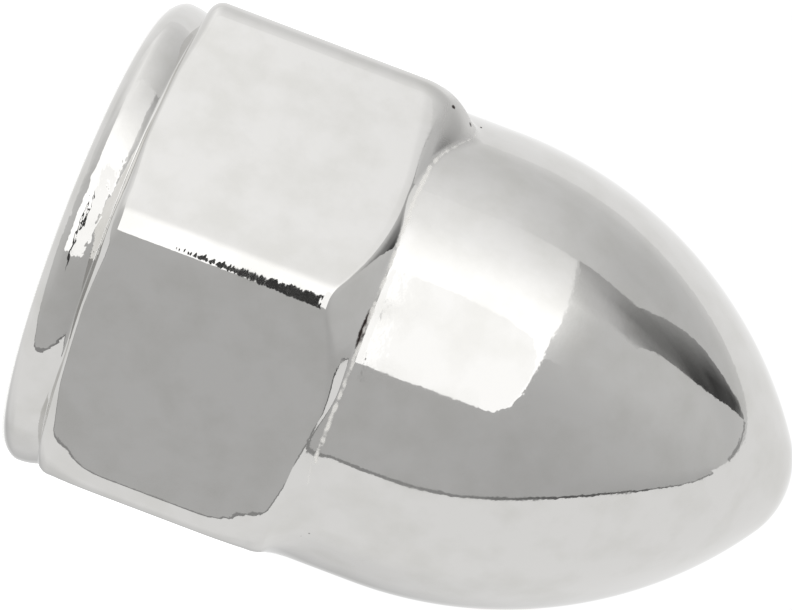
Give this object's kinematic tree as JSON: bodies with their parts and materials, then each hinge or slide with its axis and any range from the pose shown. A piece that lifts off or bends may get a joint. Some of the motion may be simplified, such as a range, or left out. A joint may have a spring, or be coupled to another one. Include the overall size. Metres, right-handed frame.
{
  "type": "cap nut",
  "caption": "Closed-end cap nut with a chamfered hexagon, a plain collar at the seat, a bullet-shaped crown and a blind tapped hole.",
  "frame": {"origin": "centre of the seat, on the thread axis, at the nut's lowest face", "axes": "+Z along the thread axis from the seat towards the closed nose; two corners of the hexagon lie on the Y axis and two flats face +X and -X"},
  "size_m": [0.0144, 0.0162, 0.022],
  "materials": {
    "chrome_plated_steel": "bright decorative chrome plating over polished steel"
  },
  "bodies": {
    "root": {"cap_nut": "chrome_plated_steel"}
  },
  "joints": []
}
